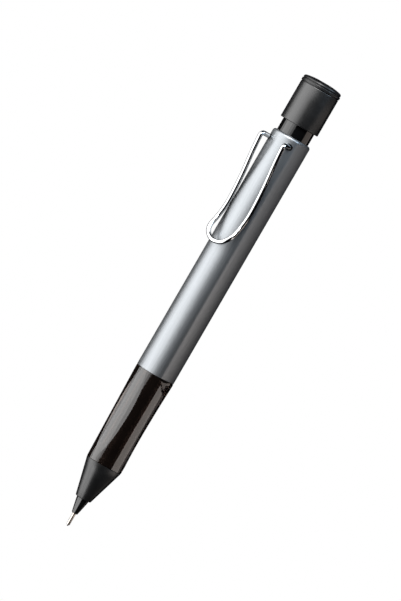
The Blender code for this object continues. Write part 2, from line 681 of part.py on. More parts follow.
def make_eraser(floor, material, parent):
    end = RESERVOIR_END_Z + HOLDER_HEAD + ERASER_STANDOUT
    edge = 0.4 * MM
    outline = [(0, floor + SEAT), (ERASER_RADIUS, floor + SEAT), (ERASER_RADIUS, end - edge),
               (ERASER_RADIUS - edge, end), (0, end)]
    turned("eraser", outline, material, parent=parent)


def make_pin(hole_end, material, parent):
    end = hole_end - SEAT
    rod("cleaning_pin", end - PIN_LENGTH, end, PIN_RADIUS, material, 12, parent=parent)


# ---- pieces: clip -------------------------------------------------------------------------
def clip_height(below):
    """Distance of the wire's centre line from the pencil's middle plane."""
    stations = [(distance * MM, lift * MM) for distance, lift in CLIP_SHAPE]
    return CLIP_TOUCH + smooth_value(stations, below)


def clip_arm_top():
    """Where an arm's two straight runs would meet if its bend were a sharp corner."""
    return Vector((CLIP_HALF_WIDTH, -clip_height(CLIP_BEND), CLIP_HOLE_Z))


def clip_entry():
    """The mouth of the hole on the +X side, and the direction in which it is drilled."""
    depth = math.sqrt(BARREL_RADIUS ** 2 - CLIP_HOLE_X ** 2)
    mouth = Vector((CLIP_HOLE_X, -depth, CLIP_HOLE_Z))
    return mouth, (mouth - clip_arm_top()).normalized()


def clip_half_path():
    """One arm, from its end in the barrel to the middle of the round end."""
    mouth, inward = clip_entry()
    path = [mouth + inward * CLIP_STUB_DEPTH]
    for turn in spread(0, math.pi / 2, 8):
        past = inward * CLIP_BEND * (1 - math.sin(turn))
        drop = Vector((0, 0, CLIP_BEND * (1 - math.cos(turn))))
        path.append(clip_arm_top() + past - drop)
    for below in spread(CLIP_BEND, CLIP_LOOP_START, 22)[1:]:
        path.append(Vector((CLIP_HALF_WIDTH, -clip_height(below), CLIP_HOLE_Z - below)))
    for turn in spread(0, math.pi / 2, 8)[1:]:
        below = CLIP_LOOP_START + CLIP_HALF_WIDTH * math.sin(turn)
        path.append(Vector((CLIP_HALF_WIDTH * math.cos(turn), -clip_height(below),
                            CLIP_HOLE_Z - below)))
    return path


def make_clip(material):
    half = clip_half_path()
    other = [Vector((-p.x, p.y, p.z)) for p in reversed(half[:-1])]
    pivot = (0, -clip_pivot_depth(), CLIP_HOLE_Z)
    axis = make_axis("clip_axis", pivot)
    swept("clip_wire", half + other, CLIP_WIRE, 12, material, pivot, axis)


def clip_pivot_depth():
    """The wire rocks about the middle of the length that its holes hold."""
    mouth, inward = clip_entry()
    return -(mouth + inward * CLIP_STUB_DEPTH / 2).y


# ---- the whole pencil ---------------------------------------------------------------------
def main():
    for obj in list(bpy.data.objects):
        bpy.data.objects.remove(obj, do_unlink=True)

    grey_metal = make_material("satin_grey_metal", (0.30, 0.33, 0.35), 0.32, 1.0)
    chrome = make_material("chrome", (0.80, 0.81, 0.82), 0.08, 1.0)
    steel = make_material("steel", (0.55, 0.54, 0.52), 0.25, 1.0)
    brass = make_material("brass", (0.66, 0.50, 0.24), 0.28, 1.0)
    smoke = make_material("smoky_clear_plastic", (0.10, 0.09, 0.08), 0.06, 0.0, 0.7)
    matte_black = make_material("matte_black_plastic", (0.025, 0.026, 0.028), 0.5)
    gloss_black = make_material("gloss_black_plastic", (0.015, 0.015, 0.015), 0.12)
    grey_plastic = make_material("grey_plastic", (0.16, 0.16, 0.17), 0.4)
    rubber = make_material("black_rubber", (0.03, 0.03, 0.03), 0.8)
    white_rubber = make_material("white_rubber", (0.80, 0.80, 0.77), 0.8)
    graphite = make_material("graphite", (0.05, 0.05, 0.055), 0.4, 0.3)

    make_barrel(grey_metal)
    make_barrel_insert(brass)
    make_grip(smoke)
    make_nose(matte_black)
    make_tip(gloss_black)
    make_lead_sleeve(steel)
    make_lead_retainer(rubber)
    make_guide(grey_plastic)
    make_rear_collar(gloss_black)
    make_clip(chrome)
    make_lead(graphite)
    make_clutch_ring(steel)
    make_spring(steel)

    press = make_axis("button_press_axis", (0, 0, BUTTON_START))
    make_chuck_body(brass, press)
    for index in range(JAW_COUNT):
        make_jaw(index, brass, press)
    make_connector(grey_plastic, press)
    make_reservoir(grey_plastic, press)
    make_spare_leads(graphite, press)

    cap = make_axis("cap_pull_axis", (0, 0, BUTTON_START), press)
    make_button_shell(matte_black, cap)
    make_button_ring(matte_black, cap)
    make_button_disc(matte_black, cap)

    pull = make_axis("eraser_pull_axis", (0, 0, RESERVOIR_END_Z), press)
    floor, pin_hole = make_eraser_holder(steel, pull)
    make_eraser(floor, white_rubber, pull)
    make_pin(pin_hole, steel, pull)


main()
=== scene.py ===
"""Looks of the mechanical pencil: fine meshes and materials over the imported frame.

Everything is in the frame's own metres. The pencil stands on its lead, clip towards -Y.
"""
import math

import bmesh
import bpy
from mathutils import Matrix, Vector

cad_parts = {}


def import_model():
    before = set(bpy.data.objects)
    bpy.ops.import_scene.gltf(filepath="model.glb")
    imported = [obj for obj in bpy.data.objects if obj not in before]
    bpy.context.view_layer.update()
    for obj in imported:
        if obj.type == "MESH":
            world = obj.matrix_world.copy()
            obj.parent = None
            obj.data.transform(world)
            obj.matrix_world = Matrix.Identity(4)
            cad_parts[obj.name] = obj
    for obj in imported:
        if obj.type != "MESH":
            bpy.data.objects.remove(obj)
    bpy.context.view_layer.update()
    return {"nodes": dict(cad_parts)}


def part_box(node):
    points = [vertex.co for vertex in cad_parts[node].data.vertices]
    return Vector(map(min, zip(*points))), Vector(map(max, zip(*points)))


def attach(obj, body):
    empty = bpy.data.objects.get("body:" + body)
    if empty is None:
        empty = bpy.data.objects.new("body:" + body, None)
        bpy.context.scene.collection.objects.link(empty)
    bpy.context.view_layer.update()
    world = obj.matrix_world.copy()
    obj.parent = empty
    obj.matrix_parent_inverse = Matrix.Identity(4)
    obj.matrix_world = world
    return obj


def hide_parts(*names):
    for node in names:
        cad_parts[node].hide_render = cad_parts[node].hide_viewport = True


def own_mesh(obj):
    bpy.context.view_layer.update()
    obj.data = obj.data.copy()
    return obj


MM = 0.001
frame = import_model()

# ---- sizes ------------------------------------------------------------------------------
BARREL_LOW, BARREL_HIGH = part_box("barrel_tube")
GRIP_LOW, GRIP_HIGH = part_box("grip_section")
NOSE_LOW, NOSE_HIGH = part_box("nose_cone")
TIP_LOW, TIP_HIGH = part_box("tip_cone")
BARREL_START, BARREL_END = BARREL_LOW.z, BARREL_HIGH.z
BARREL_RADIUS = BARREL_HIGH.y
BARREL_BORE = 4.2 * MM
BARREL_FLAT_DISTANCE = BARREL_HIGH.x
BARREL_FLAT_RADIUS = 14.0 * MM
BARREL_CREASE = 0.08 * MM
BARREL_RIM = 0.8 * MM
BARREL_FRONT_EDGE = 0.12 * MM
NECK_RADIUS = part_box("rear_collar")[1].x
NECK_BORE = 2.95 * MM
NECK_EDGE = 0.2 * MM
SEAT = 0.02 * MM
FIT = 0.05 * MM

GRIP_START = GRIP_LOW.z
GRIP_CORNER_FRONT, GRIP_CORNER_BACK = 5.57 * MM, BARREL_RADIUS + 0.03 * MM
GRIP_SIDE_FRONT, GRIP_SIDE_BACK = 4.94 * MM, BARREL_RADIUS - 0.03 * MM
GRIP_LENGTH = BARREL_START - GRIP_START
SCOOP_BOTTOM = 5.36 * MM
SCOOP_CURVE = 7.2 * MM
SCOOP_DEEPEST = GRIP_START + 10.5 * MM
SCOOP_FRONT = GRIP_START + 2.2 * MM
SCOOP_BACK = GRIP_START + 28.0 * MM
SEAM_FLARE = 0.16
GRIP_BORE = 2.75 * MM
GRIP_SPIGOT = 3.4 * MM
GRIP_NOSE_SOCKET = 3.65 * MM

NOSE_FRONT_RADIUS = 2.3 * MM
NOSE_SPIGOT = 3.6 * MM
NOSE_BORE = 2.1 * MM
NOSE_BORE_LENGTH = 3.9 * MM
NOSE_TIP_BORE = 1.6 * MM

TIP_FRONT_RADIUS = 0.62 * MM
TIP_ROUNDING = 0.3 * MM
TIP_SPIGOT = 1.55 * MM
TIP_SOCKET = 1.1 * MM
TIP_SOCKET_DEPTH = 2.4 * MM
TIP_BORE = 0.47 * MM
SLEEVE_BORE = 0.30 * MM

CLIP_WIRE = 0.66 * MM
CLIP_HALF_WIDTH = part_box("clip_wire")[1].x - CLIP_WIRE
CLIP_HOLE_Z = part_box("clip_wire")[1].z - CLIP_WIRE
CLIP_HOLE = 0.95 * MM
CLIP_HOLE_BAND = 1.6 * MM             # rings this far above and below the holes keep them clean
CLIP_DRILL_REACH = 1.5 * MM
SHADE_SHEET_START = 0.07 * MM              # the painted-shade sheet in the clip holes starts this far under the barrel's surface
CLIP_BEND = 1.0 * MM
CLIP_LOOP_START = 27.6 * MM
CLIP_HOLE_X = 3.6 * MM
CLIP_STUB_DEPTH = 1.0 * MM
CLIP_SHAPE = [(1.0, 3.0), (5.8, 2.34), (12.6, 1.05), (19.4, 0.35), (22.8, 0.47),
              (26.2, 1.32), (29.6, 2.68), (31.8, 3.11)]
CLIP_TOUCH = math.sqrt((BARREL_RADIUS + CLIP_WIRE) ** 2 - CLIP_HALF_WIDTH ** 2)

SPRING_WIRE = 0.20 * MM
SPRING_TURNS = 9

BUTTON_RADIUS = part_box("button_shell")[1].x
BUTTON_TUBE = (2.15 * MM, 2.85 * MM)  # inner and outer radius of the tube in the button
BUTTON_ROOF = 2.3 * MM
BUTTON_SEAT = 4.5 * MM
BUTTON_SOCKET = 1.2 * MM
RING_BORE = 4.55 * MM
RING_GROOVE_DEPTH = 0.15 * MM
RING_GROOVE = 0.11 * MM
DISC_PEG = 1.15 * MM
DISC_DOME = 0.42 * MM
DISC_EDGE = 0.7 * MM

SIDES = 144

# ---- view of the pencil -------------------------------------------------------------------
CAMERA_AZIMUTH = math.radians(34)
CAMERA_LEAN = math.radians(30.12)     # the pencil leans this far to the right in the frame
CAMERA_DISTANCE = 1.1
CAMERA_HEIGHT = 124.4 * MM
CAMERA_LENS = 242.7
AIM_HEIGHT = 71.33 * MM
AIM_RIGHT = 0.63 * MM
TOWARDS_CAMERA = Vector((math.sin(CAMERA_AZIMUTH), -math.cos(CAMERA_AZIMUTH), 0))
FRAME_RIGHT = Vector((math.cos(CAMERA_AZIMUTH), math.sin(CAMERA_AZIMUTH), 0))
UP = Vector((0, 0, 1))


# ---- mesh helpers ---------------------------------------------------------------------------
def mix(a, b, share):
    return a + (b - a) * share


def spread(start, end, steps):
    return [mix(start, end, i / steps) for i in range(steps + 1)]


def finish_mesh(bm, name, material, sharp=32):
    bmesh.ops.remove_doubles(bm, verts=bm.verts, dist=0.0003 * MM)
    bmesh.ops.recalc_face_normals(bm, faces=bm.faces)
    mesh = bpy.data.meshes.new(name)
    bm.to_mesh(mesh)
    bm.free()
    mesh.materials.append(material)
    mesh.shade_smooth()
    mesh.set_sharp_from_angle(angle=math.radians(sharp))
    obj = bpy.data.objects.new(name, mesh)
    bpy.context.scene.collection.objects.link(obj)
    return obj


def skin(name, rings, material, closed=True, sharp=32):
    """Skin a list of rings of points. A closed skin joins the last ring to the first."""
    bm = bmesh.new()
    loops = [[bm.verts.new(point) for point in ring] for ring in rings]
    pairs = list(zip(loops, loops[1:]))
    if closed:
        pairs.append((loops[-1], loops[0]))
    for low, high in pairs:
        for i in range(len(low)):
            j = (i + 1) % len(low)
            bm.faces.new((low[i], low[j], high[j], high[i]))
    if not closed:
        bm.faces.new(loops[0])
        bm.faces.new(loops[-1])
    return finish_mesh(bm, name, material, sharp)


def circle(radius, z, sides=SIDES):
    angles = [2 * math.pi * i / sides for i in range(sides)]
    return [(radius * math.cos(a), radius * math.sin(a), z) for a in angles]


def turned(name, outline, material, sides=SIDES, sharp=32):
    return skin(name, [circle(radius, z, sides) for radius, z in outline], material, True, sharp)


def arc(center, radius, start, end, steps=6):
    angles = [math.radians(start + (end - start) * i / steps) for i in range(steps + 1)]
    return [(center[0] + radius * math.cos(a), center[1] + radius * math.sin(a))
            for a in angles]


def section(radius_at, angles, z):
    return [(radius_at(a) * math.sin(a), -radius_at(a) * math.cos(a), z) for a in angles]


def smooth_value(stations, x):
    """A smooth curve through (x, value) stations, by cubic pieces."""
    last = len(stations) - 1

    def slope(i):
        low, high = stations[max(i - 1, 0)], stations[min(i + 1, last)]
        return (high[1] - low[1]) / (high[0] - low[0])

    for i in range(last):
        (x0, y0), (x1, y1) = stations[i], stations[i + 1]
        if x <= x1 or i == last - 1:
            break
    width = x1 - x0
    t = (x - x0) / width
    return ((2 * t ** 3 - 3 * t ** 2 + 1) * y0 + (t ** 3 - 2 * t ** 2 + t) * slope(i) * width
            + (3 * t ** 2 - 2 * t ** 3) * y1 + (t ** 3 - t ** 2) * slope(i + 1) * width)


def ride(obj, body, slot, *nodes):
    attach(obj, body)
    if nodes:
        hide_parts(*nodes)
    return obj


# ---- material helpers -------------------------------------------------------------------------
class Recipe:
    """A Principled material, with short calls for the nodes that feed it."""

    def __init__(self, name, **values):
        self.material = bpy.data.materials.new(name)
        self.material.use_nodes = True
        self.tree = self.material.node_tree
        self.shader = self.tree.nodes["Principled BSDF"]
        self.coords = self.tree.nodes.new("ShaderNodeTexCoord")
        for socket, value in values.items():
            self.shader.inputs[socket.replace("_", " ")].default_value = value

    def mapped(self, scale):
        node = self.tree.nodes.new("ShaderNodeMapping")
        node.inputs["Scale"].default_value = scale
        self.tree.links.new(self.coords.outputs["Object"], node.inputs["Vector"])
        return node.outputs["Vector"]

    def noise(self, scale, detail=3.0, stretch=(1, 1, 1), roughness=0.5):
        node = self.tree.nodes.new("ShaderNodeTexNoise")
        node.inputs["Scale"].default_value = scale
        node.inputs["Detail"].default_value = detail
        node.inputs["Roughness"].default_value = roughness
        self.tree.links.new(self.mapped(stretch), node.inputs["Vector"])
        return node.outputs["Fac"]

    def range(self, value, low, high, start=0.3, end=0.7):
        node = self.tree.nodes.new("ShaderNodeMapRange")
        node.inputs["From Min"].default_value = start
        node.inputs["From Max"].default_value = end
        node.inputs["To Min"].default_value = low
        node.inputs["To Max"].default_value = high
        self.tree.links.new(value, node.inputs["Value"])
        return node.outputs["Result"]

    def colors(self, value, *stops):
        node = self.tree.nodes.new("ShaderNodeValToRGB")
        ramp = node.color_ramp
        while len(ramp.elements) < len(stops):
            ramp.elements.new(0.5)
        for element, (position, color) in zip(ramp.elements, stops):
            element.position = position
            element.color = (*color, 1)
        self.tree.links.new(value, node.inputs["Fac"])
        return node.outputs["Color"]

    def feed(self, socket, value):
        self.tree.links.new(value, self.shader.inputs[socket])

    def bump(self, value, strength, depth):
        node = self.tree.nodes.new("ShaderNodeBump")
        node.inputs["Strength"].default_value = strength
        node.inputs["Distance"].default_value = depth
        self.tree.links.new(value, node.inputs["Height"])
        self.tree.links.new(node.outputs["Normal"], self.shader.inputs["Normal"])


def anodised(name):
    """Satin graphite-grey anodised aluminium, with faint lengthwise drawing lines."""
    r = Recipe(name, Metallic=1.0, Coat_Weight=0.35, Coat_Roughness=0.35, Coat_IOR=1.5)
    lines = r.noise(1.0, 4.0, (5200, 5200, 90))
    grain = r.noise(16000, 2.0)
    dark, light = (0.200, 0.211, 0.221), (0.228, 0.240, 0.252)
    r.feed("Base Color", r.colors(lines, (0.3, dark), (0.7, light)))
    r.feed("Roughness", r.range(grain, 0.40, 0.48))
    r.bump(grain, 0.10, 0.004 * MM)
    return r.material


def chrome(name):
    """Bright chrome on drawn wire, with a faint haze."""
    r = Recipe(name, Metallic=1.0)
    haze = r.noise(900)
    dark, light = (0.50, 0.51, 0.52), (0.56, 0.565, 0.57)
    r.feed("Base Color", r.colors(haze, (0.3, dark), (0.7, light)))
    r.feed("Roughness", r.range(haze, 0.035, 0.075))
    return r.material


def smoke(name):
    """Deep smoky clear plastic: dark brown where light comes through it."""
    r = Recipe(name, IOR=1.65, Transmission_Weight=0.92)
    cloud = r.noise(260, 2.0)
    dark, light = (0.030, 0.020, 0.016), (0.040, 0.027, 0.021)
    r.feed("Base Color", r.colors(cloud, (0.3, dark), (0.7, light)))
    r.feed("Roughness", r.range(cloud, 0.015, 0.04))
    return r.material


def black_plastic(name, rough, shade, grain_depth, ior=1.55, tint=(1.0, 1.0, 1.04)):
    """Moulded black plastic: a fine spark-eroded grain, a little uneven in sheen."""
    r = Recipe(name, IOR=ior)
    grain = r.noise(9000, 3.0)
    sheen = r.noise(320, 2.0)
    dark = tuple(shade * 0.85 * t for t in tint)
    light = tuple(shade * 1.2 * t for t in tint)
    r.feed("Base Color", r.colors(sheen, (0.3, dark), (0.7, light)))
    r.feed("Roughness", r.range(sheen, rough * 0.92, rough * 1.08))
    r.bump(grain, 0.25, grain_depth * MM)
    return r.material


def metal(name, low, high, rough):
    """Turned or drawn metal, with fine lines and a slightly uneven polish."""
    r = Recipe(name, Metallic=1.0)
    lines = r.noise(1.0, 3.0, (3000, 3000, 30000))
    r.feed("Base Color", r.colors(lines, (0.3, low), (0.7, high)))
    r.feed("Roughness", r.range(lines, rough * 0.85, rough * 1.2))
    r.bump(lines, 0.2, 0.003 * MM)
    return r.material


def soft(name, low, high, rough, scale=5000, depth=0.01):
    """Rubber, moulded plastic or graphite: matte, with a fine even grain."""
    r = Recipe(name)
    grain = r.noise(scale, 4.0)
    r.feed("Base Color", r.colors(grain, (0.3, low), (0.7, high)))
    r.feed("Roughness", r.range(grain, rough * 0.9, min(1.0, rough * 1.1)))
    r.bump(grain, 0.3, depth * MM)
    return r.material


# ---- barrel ---------------------------------------------------------------------------------
def flat_half_angle():
    back = BARREL_FLAT_RADIUS - BARREL_FLAT_DISTANCE
    cosine = ((BARREL_FLAT_RADIUS ** 2 - BARREL_RADIUS ** 2 - back ** 2)
              / (2 * back * BARREL_RADIUS))
    return math.acos(cosine)


def arc_reach(distance, radius, angle):
    """Distance from the axis to a round face whose middle is `distance` away at angle 0."""
    back = radius - distance
    reach = radius ** 2 - (back * math.sin(angle)) ** 2
    return math.sqrt(max(reach, 0.0)) - back * math.cos(angle)


def barrel_radius(angle):
    """Distance from the axis to the barrel's surface: round, with two soft flats."""
    off = abs(angle) % math.pi - math.pi / 2
    flat = arc_reach(BARREL_FLAT_DISTANCE, BARREL_FLAT_RADIUS, off)
    step = (BARREL_RADIUS - flat) / BARREL_CREASE
    return BARREL_RADIUS - BARREL_CREASE * math.log1p(math.exp(min(step, 500.0)))


def barrel_angles():
    quarter, half = math.pi / 2, flat_half_angle()
    edges = [half - quarter, quarter - half, quarter + half, 3 * quarter - half,
             3 * quarter + half]
    angles = []
    for start, end, steps in zip(edges, edges[1:], (44, 28, 44, 28)):
        angles += spread(start, end, steps)[:-1]
    return angles


def barrel(material):
    angles = barrel_angles()
    rings = []
    for turn in spread(0, math.pi / 2, 3):
        inset = BARREL_FRONT_EDGE * (1 - math.sin(turn))
        rings.append(section(lambda a: barrel_radius(a) - inset, angles,
                             BARREL_START + BARREL_FRONT_EDGE * (1 - math.cos(turn))))
    below_holes, above_holes = CLIP_HOLE_Z - CLIP_HOLE_BAND, CLIP_HOLE_Z + CLIP_HOLE_BAND
    for z in (below_holes, above_holes):
        rings.append(section(barrel_radius, angles, z))
    for turn in spread(0, math.pi / 2, 10):
        def rounded(a):
            radius = barrel_radius(a)
            rim = min(BARREL_RIM, radius - NECK_RADIUS - FIT)
            return radius - rim * (1 - math.cos(turn))
        rings.append(section(rounded, angles, BARREL_END - BARREL_RIM * (1 - math.sin(turn))))
    for z in (BARREL_END, above_holes, below_holes, BARREL_START):
        rings.append(section(lambda a: BARREL_BORE, angles, z))
    shell = skin("barrel_shell", rings, material, sharp=40)
    for sign in (-1, 1):
        drill(shell, sign)
    return ride(shell, "barrel", "anodised_barrel", "barrel_tube")


def hole_ring(sign, radius, depth_at):
    """A ring of points round the slanting axis of one clip hole."""
    mouth, inward = clip_entry()
    side = inward.cross(UP)
    ring = []
    for k in range(48):
        turn = 2 * math.pi * k / 48
        edge = mouth + (side * math.cos(turn) + UP * math.sin(turn)) * radius
        point = edge + inward * depth_at(edge, inward)
        ring.append((sign * point.x, point.y, point.z))
    return ring


def at_depth(depth):
    """For a ring whose points are all the same way along the hole."""
    return lambda edge, inward: depth


def depth_under_surface(edge, inward):
    """How far along the hole a point is a little way inside the barrel's surface."""
    low, high = -CLIP_DRILL_REACH, CLIP_DRILL_REACH
    for _ in range(40):
        middle = (low + high) / 2
        point = edge + inward * middle
        if math.hypot(point.x, point.y) > BARREL_RADIUS - SHADE_SHEET_START:
            low = middle
        else:
            high = middle
    return high


def hole_shade_sheet(sign, material):
    """A near-black sheet inside a clip hole, from just under the surface to its floor: painted
    shade for the hole's depth.
    """
    gap, thickness = 0.01 * MM, 0.02 * MM
    floor = CLIP_STUB_DEPTH + 0.13 * MM
    wall, bore = CLIP_HOLE - gap, CLIP_HOLE - 0.03 * MM
    rings = [hole_ring(sign, gap, at_depth(floor)),
             hole_ring(sign, wall, at_depth(floor)),
             hole_ring(sign, wall, depth_under_surface),
             hole_ring(sign, bore, depth_under_surface),
             hole_ring(sign, bore, at_depth(floor - thickness)),
             hole_ring(sign, gap, at_depth(floor - thickness))]
    name = "hole_shade_sheet_" + ("right" if sign > 0 else "left")
    return ride(skin(name, rings, material), "barrel", "anodised_barrel")


def drill(shell, sign):
    """Cut one clip hole, slanting inwards from its mouth."""
    rings = [hole_ring(sign, CLIP_HOLE, at_depth(CLIP_STUB_DEPTH + 0.15 * MM)),
             hole_ring(sign, CLIP_HOLE, at_depth(-CLIP_DRILL_REACH))]
    cutter = skin("drill", rings, shell.data.materials[0], closed=False)
    cut = shell.modifiers.new("hole", "BOOLEAN")
    cut.operation = "DIFFERENCE"
    cut.object = cutter
    graph = bpy.context.evaluated_depsgraph_get()
    mesh = bpy.data.meshes.new_from_object(shell.evaluated_get(graph))
    shell.modifiers.clear()
    shell.data = mesh
    mesh.set_sharp_from_angle(angle=math.radians(40))
    bpy.data.objects.remove(cutter)


# ---- grip and nose ----------------------------------------------------------------------------
def triangle_radius(angle, corner, side):
    return (corner + side) / 2 + (corner - side) / 2 * math.cos(3 * angle)


def grip_size(z):
    share = (z - GRIP_START) / GRIP_LENGTH
    return (mix(GRIP_CORNER_FRONT, GRIP_CORNER_BACK, share),
            mix(GRIP_SIDE_FRONT, GRIP_SIDE_BACK, share))


def scoop_distance(z):
    reach, corner = SCOOP_DEEPEST - SCOOP_FRONT, GRIP_CORNER_FRONT
    if z > SCOOP_DEEPEST:
        reach, corner = SCOOP_BACK - SCOOP_DEEPEST, GRIP_CORNER_BACK
    return SCOOP_BOTTOM + (corner - SCOOP_BOTTOM) * ((z - SCOOP_DEEPEST) / reach) ** 2


def scoop_reach(z, from_corner):
    return arc_reach(scoop_distance(z), SCOOP_CURVE, from_corner)


def scoop_edge(z):
    corner, side = grip_size(z)
    low, high = 0.0, math.radians(55)
    for _ in range(40):
        middle = (low + high) / 2
        if scoop_reach(z, middle) < triangle_radius(middle, corner, side):
            low = middle
        else:
            high = middle
    return max(low, math.radians(1.5))


def grip_angles(z):
    edge = scoop_edge(z)
    half = spread(0, edge, 6)[:-1] + spread(edge, math.pi / 3, 18)[:-1]
    rest = [2 * math.pi / 3 - a for a in reversed(half[1:])]
    sector = half + [math.pi / 3] + rest
    return [a + 2 * math.pi / 3 * k for k in range(3) for a in sector]


def grip_radius(angle, z):
    corner, side = grip_size(z)
    from_corner = (angle + math.pi / 3) % (2 * math.pi / 3) - math.pi / 3
    seam = barrel_radius(angle) + (BARREL_START - z) * SEAM_FLARE
    floor = scoop_reach(z, from_corner)
    return min(triangle_radius(angle, corner, side), seam, floor)


def grip(material):
    heights = [GRIP_START, GRIP_START + 0.12 * MM, (GRIP_START + SCOOP_FRONT) / 2]
    heights += [mix(SCOOP_FRONT, SCOOP_DEEPEST, (i / 28) ** 2) for i in range(28)]
    heights += spread(SCOOP_DEEPEST, BARREL_START - SEAT, 34)
    rings = []
    for z in heights:
        inset = 0.08 * MM if z in (heights[0], heights[-1]) else 0.0
        rings.append(section(lambda a: grip_radius(a, z) - inset, grip_angles(z), z))
    bore_start = NOSE_HIGH.z + FIT
    end = GRIP_HIGH.z
    inside = [(GRIP_SPIGOT, heights[-1]), (GRIP_SPIGOT, end), (GRIP_BORE, end),
              (GRIP_BORE, bore_start), (GRIP_NOSE_SOCKET, bore_start),
              (GRIP_NOSE_SOCKET, GRIP_START)]
    even_angles = spread(0, 2 * math.pi, len(rings[0]))[:-1]
    for radius, z in inside:
        rings.append(section(lambda a: radius, even_angles, z))
    piece = skin("grip_body", rings, material, sharp=9)
    return ride(piece, "barrel", "smoky_grip", "grip_section")


def nose(material):
    start, seam = NOSE_LOW.z, GRIP_START - SEAT
    angles = [2 * math.pi * k / SIDES for k in range(SIDES)]
    rings = []
    for turn in spread(0, math.pi / 2, 4):
        share = 0.02 * (1 - math.cos(turn))
        inset = 0.25 * MM * (1 - math.sin(turn))
        rings.append(section(lambda a: nose_radius(a, share) - inset, angles,
                             mix(start, seam, share)))
    for share in (0.2, 0.4, 0.6, 0.8, 0.985, 1.0):
        inset = 0.08 * MM if share == 1.0 else 0.0
        rings.append(section(lambda a: nose_radius(a, share) - inset, angles,
                             mix(start, seam, share)))
    spigot_end = NOSE_HIGH.z
    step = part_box("clutch_ring")[0].z - 1.1 * MM
    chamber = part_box("clutch_ring")[1].x + 0.1 * MM
    bore_end = step - NOSE_BORE_LENGTH
    inside = [(NOSE_SPIGOT, seam), (NOSE_SPIGOT, spigot_end), (chamber, spigot_end),
              (chamber, step), (NOSE_BORE, step), (NOSE_BORE, bore_end),
              (NOSE_TIP_BORE, bore_end), (NOSE_TIP_BORE, start)]
    rings += [section(lambda a, r=radius: r, angles, z) for radius, z in inside]
    piece = skin("nose_shell", rings, material)
    return ride(piece, "barrel", "matte_nose", "nose_cone")


def nose_radius(angle, share):
    back = triangle_radius(angle, GRIP_CORNER_FRONT, GRIP_SIDE_FRONT)
    return mix(NOSE_FRONT_RADIUS, back, share)


def tip(material):
    start, end = TIP_LOW.z, NOSE_LOW.z - SEAT
    socket_floor = TIP_HIGH.z - TIP_SOCKET_DEPTH
    outline = arc((TIP_FRONT_RADIUS, start + TIP_ROUNDING), TIP_ROUNDING, -90, 0, 6)
    outline += [(1.6 * MM, start + 3.4 * MM), (1.66 * MM, start + 3.7 * MM), (1.8 * MM, end),
                (TIP_SPIGOT, end), (TIP_SPIGOT, TIP_HIGH.z), (TIP_SOCKET, TIP_HIGH.z),
                (TIP_SOCKET, socket_floor), (TIP_BORE, socket_floor), (TIP_BORE, start)]
    return ride(turned("tip_shell", outline, material, 96), "barrel", "gloss_tip", "tip_cone")


def lead_sleeve(material):
    low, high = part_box("lead_sleeve")
    radius, edge = high.x, 0.08 * MM
    outline = [(SLEEVE_BORE, low.z), (radius - edge, low.z)]
    outline += arc((radius - edge, low.z + edge), edge, -90, 0, 4)[1:]
    outline += [(radius, high.z), (SLEEVE_BORE, high.z)]
    return ride(turned("lead_pipe", outline, material, 64), "barrel", "steel_sleeve",
                "lead_sleeve")


def lead(material):
    low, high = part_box("lead")
    radius, flat = high.x, 0.14 * MM
    outline = [(0, low.z), (flat, low.z), (flat + 0.03 * MM, low.z + 0.01 * MM),
               (radius, low.z + 0.11 * MM), (radius, high.z), (0, high.z)]
    return ride(turned("lead_stick", outline, material, 48), "writing_lead", "graphite", "lead")


def spring(material):
    """The coil round the chuck."""
    low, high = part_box("return_spring")
    radius, length = high.x - SPRING_WIRE, high.z - low.z
    climb = (length - 2 * SPRING_WIRE) / (2 * math.pi * SPRING_TURNS)
    rings = []
    for angle in spread(0, 2 * math.pi * SPRING_TURNS, SPRING_TURNS * 24):
        outward = Vector((math.cos(angle), math.sin(angle), 0))
        point = outward * radius + UP * (low.z + SPRING_WIRE + climb * angle)
        rings.append([point + (outward * math.cos(a) + UP * math.sin(a)) * SPRING_WIRE
                      for a in spread(0, 2 * math.pi, 8)[:-1]])
    piece = ride(skin("spring_coil", rings, material, closed=False), "barrel",
                 "spring_steel", "return_spring")
    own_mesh(piece)
    return piece


# ---- neck and button ----------------------------------------------------------------------------
def neck(material):
    low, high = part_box("rear_collar")
    rim, root = BARREL_END + SEAT, BARREL_BORE - FIT
    outline = [(root, low.z), (root, rim), (NECK_RADIUS, rim)]
    outline += arc((NECK_RADIUS - NECK_EDGE, high.z - NECK_EDGE), NECK_EDGE, 0, 90, 4)
    outline += [(NECK_BORE, high.z), (NECK_BORE, low.z)]
    return ride(turned("neck", outline, material), "barrel", "gloss_collar", "rear_collar")


def button_shell(material):
    low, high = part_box("button_shell")
    ring_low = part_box("button_ring")[0].z - SEAT
    radius, skirt = high.x, NECK_RADIUS + 0.1 * MM
    roof, socket_floor = ring_low - BUTTON_ROOF, high.z - BUTTON_SOCKET
    tube_bore, tube = BUTTON_TUBE
    tube_end = low.z + 0.8 * MM
    edge, seam_edge = 0.22 * MM, 0.12 * MM
    outline = [(skirt, low.z + 0.1 * MM), (skirt + 0.1 * MM, low.z), (radius - edge, low.z)]
    outline += arc((radius - edge, low.z + edge), edge, -90, 0, 5)[1:]
    outline += arc((radius - seam_edge, ring_low - seam_edge), seam_edge, 0, 90, 4)
    outline += [(BUTTON_SEAT, ring_low), (BUTTON_SEAT, high.z), (BUTTON_SOCKET, high.z),
                (BUTTON_SOCKET, socket_floor), (0, socket_floor), (0, roof), (tube_bore, roof),
                (tube_bore, tube_end), (tube, tube_end), (tube, roof), (skirt, roof)]
    return ride(turned("button_cap", outline, material), "cap", "matte_button", "button_shell")


